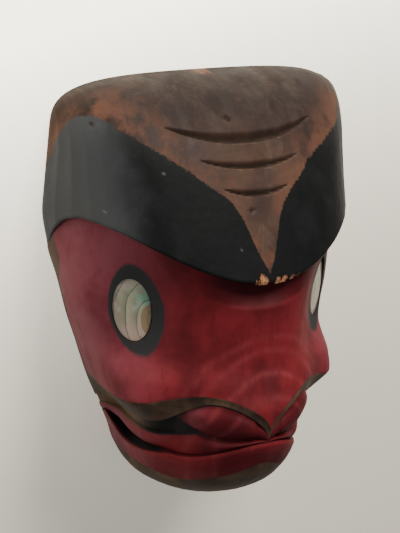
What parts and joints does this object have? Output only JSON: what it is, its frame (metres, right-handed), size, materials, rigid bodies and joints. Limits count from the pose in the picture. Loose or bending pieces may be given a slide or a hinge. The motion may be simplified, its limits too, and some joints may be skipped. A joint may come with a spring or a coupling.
{
  "type": "carved mask",
  "caption": "Hollow carved wooden animal mask with an overhanging brow, pointed upper lip and shell eye inlays, lying face up on its back rim.",
  "frame": {"origin": "middle of the flat plane of the back rim, at half the mask's width and half its length", "axes": "+X to the viewer's right across the face, +Y from the chin to the crown, +Z out of the back rim towards the front of the face"},
  "size_m": [0.204, 0.261, 0.1167],
  "materials": {
    "painted_wood": "matte",
    "abalone_shell": "glossy"
  },
  "bodies": {
    "root": {"mask_body": "painted_wood", "eye_inlay_left": "abalone_shell", "eye_inlay_right": "abalone_shell"}
  },
  "joints": []
}
